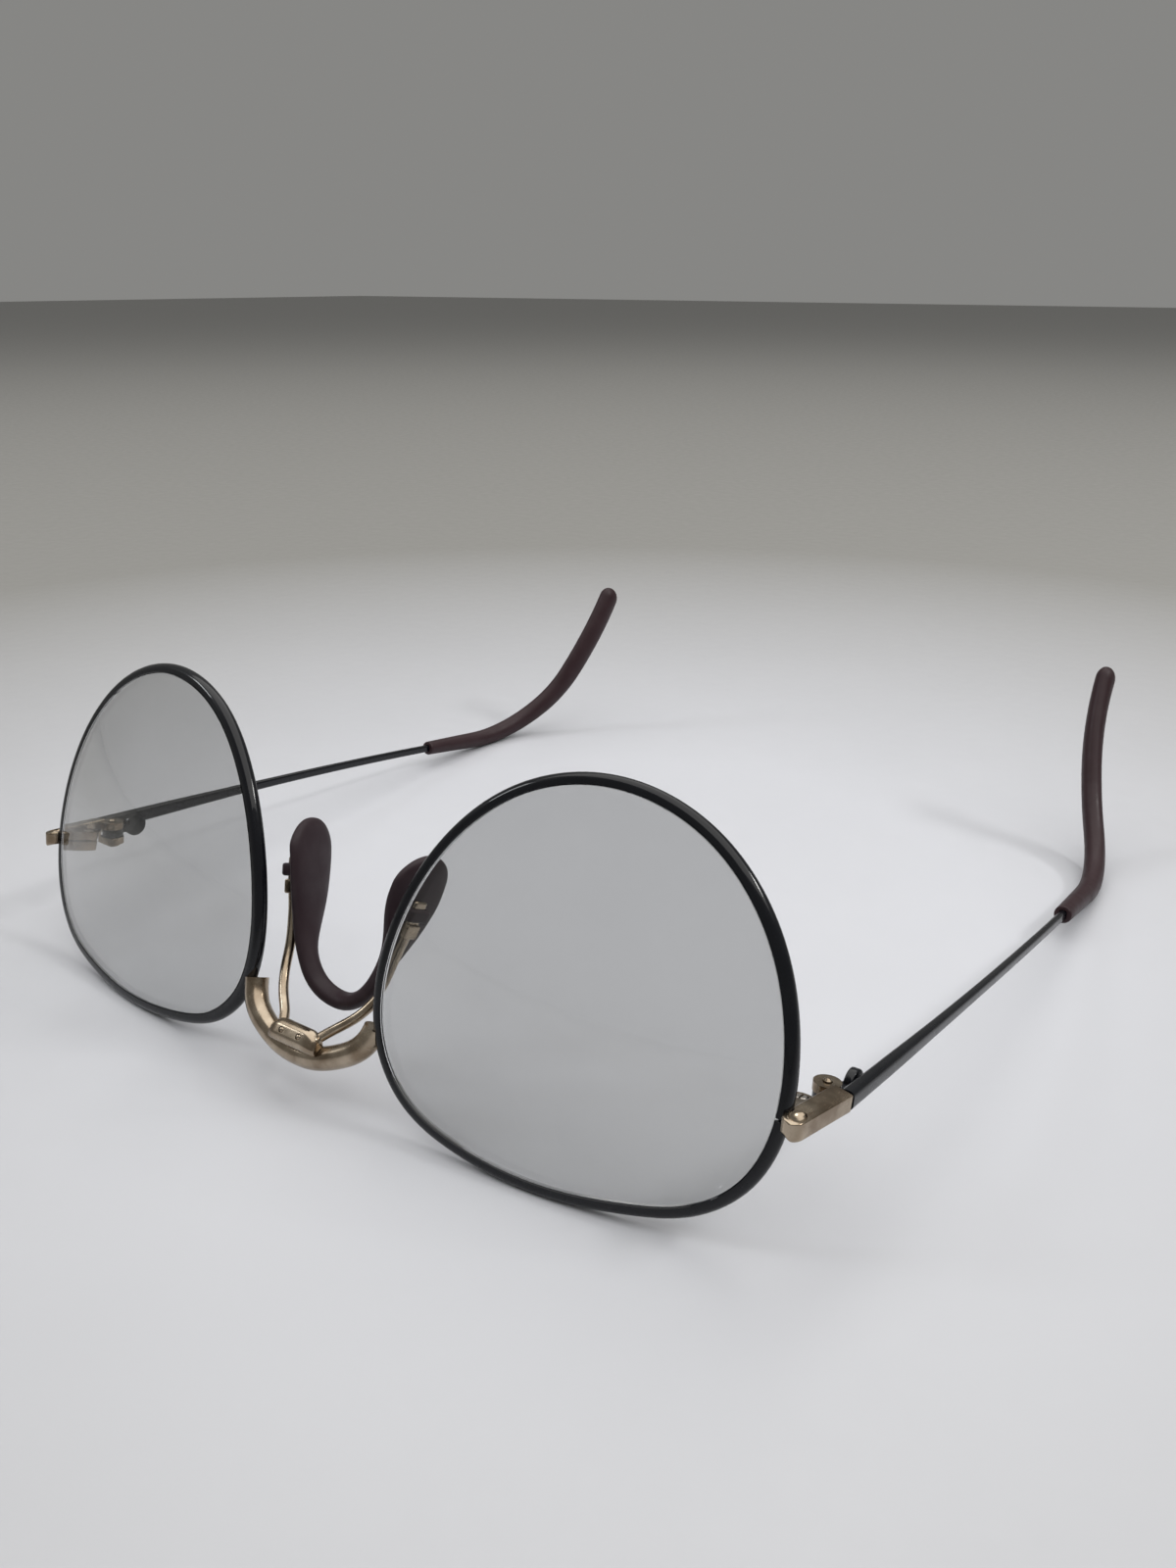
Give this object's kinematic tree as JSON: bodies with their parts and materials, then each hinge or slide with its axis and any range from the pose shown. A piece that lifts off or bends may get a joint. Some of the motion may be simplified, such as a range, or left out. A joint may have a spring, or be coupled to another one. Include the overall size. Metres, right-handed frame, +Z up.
{
  "type": "spectacles",
  "caption": "Full-rim metal spectacles with large rounded lenses, an arched bridge carrying a one-piece saddle nose pad, and folding temples with curved plastic tips.",
  "frame": {"origin": "centre of the bounding box in X and Y, on the surface the spectacles rest on (Z = 0)", "axes": "+X to the wearer's right, -Y out of the front of the lenses, +Y back along the open temples, +Z up from the surface; the spectacles lie upside down on the brow line, so the wearer's up is -Z"},
  "size_m": [0.1352, 0.1532, 0.0462],
  "materials": {
    "black_enamel": "glossy black enamel over metal",
    "gold_plate": "polished pale gold plating, lightly worn",
    "steel": "turned bare steel",
    "clear_lens": "clear polished lens",
    "burgundy_rubber": "satin moulded dark burgundy rubber",
    "burgundy_plastic": "smooth dark burgundy plastic"
  },
  "bodies": {
    "front": {"bridge": "gold_plate", "bridge_block": "gold_plate", "saddle_nose_pad": "burgundy_rubber", "right_rim": "black_enamel", "left_rim": "black_enamel", "right_lens": "clear_lens", "left_lens": "clear_lens", "right_lock_upper": "gold_plate", "left_lock_upper": "gold_plate", "right_lock_lower": "gold_plate", "left_lock_lower": "gold_plate", "right_lock_screw": "steel", "left_lock_screw": "steel", "right_block_pin": "gold_plate", "left_block_pin": "gold_plate", "right_pad_arm": "gold_plate", "left_pad_arm": "gold_plate", "right_end_piece": "gold_plate", "left_end_piece": "gold_plate", "right_hinge_screw": "gold_plate", "left_hinge_screw": "gold_plate"},
    "right_temple_arm": {"right_temple": "black_enamel", "right_temple_tip": "burgundy_plastic", "right_temple_hinge": "black_enamel"},
    "left_temple_arm": {"left_temple": "black_enamel", "left_temple_tip": "burgundy_plastic", "left_temple_hinge": "black_enamel"}
  },
  "joints": [
    {"name": "right_temple_fold", "type": "hinge", "parent": "front", "child": "right_temple_arm", "pos_m": [0.0628, -0.05494, 0.01324], "axis": [0, 0.1271, 0.9919], "range_deg": [0, 88]},
    {"name": "left_temple_fold", "type": "hinge", "parent": "front", "child": "left_temple_arm", "pos_m": [-0.0628, -0.05494, 0.01324], "axis": [0, -0.1271, -0.9919], "range_deg": [0, 74]}
  ]
}
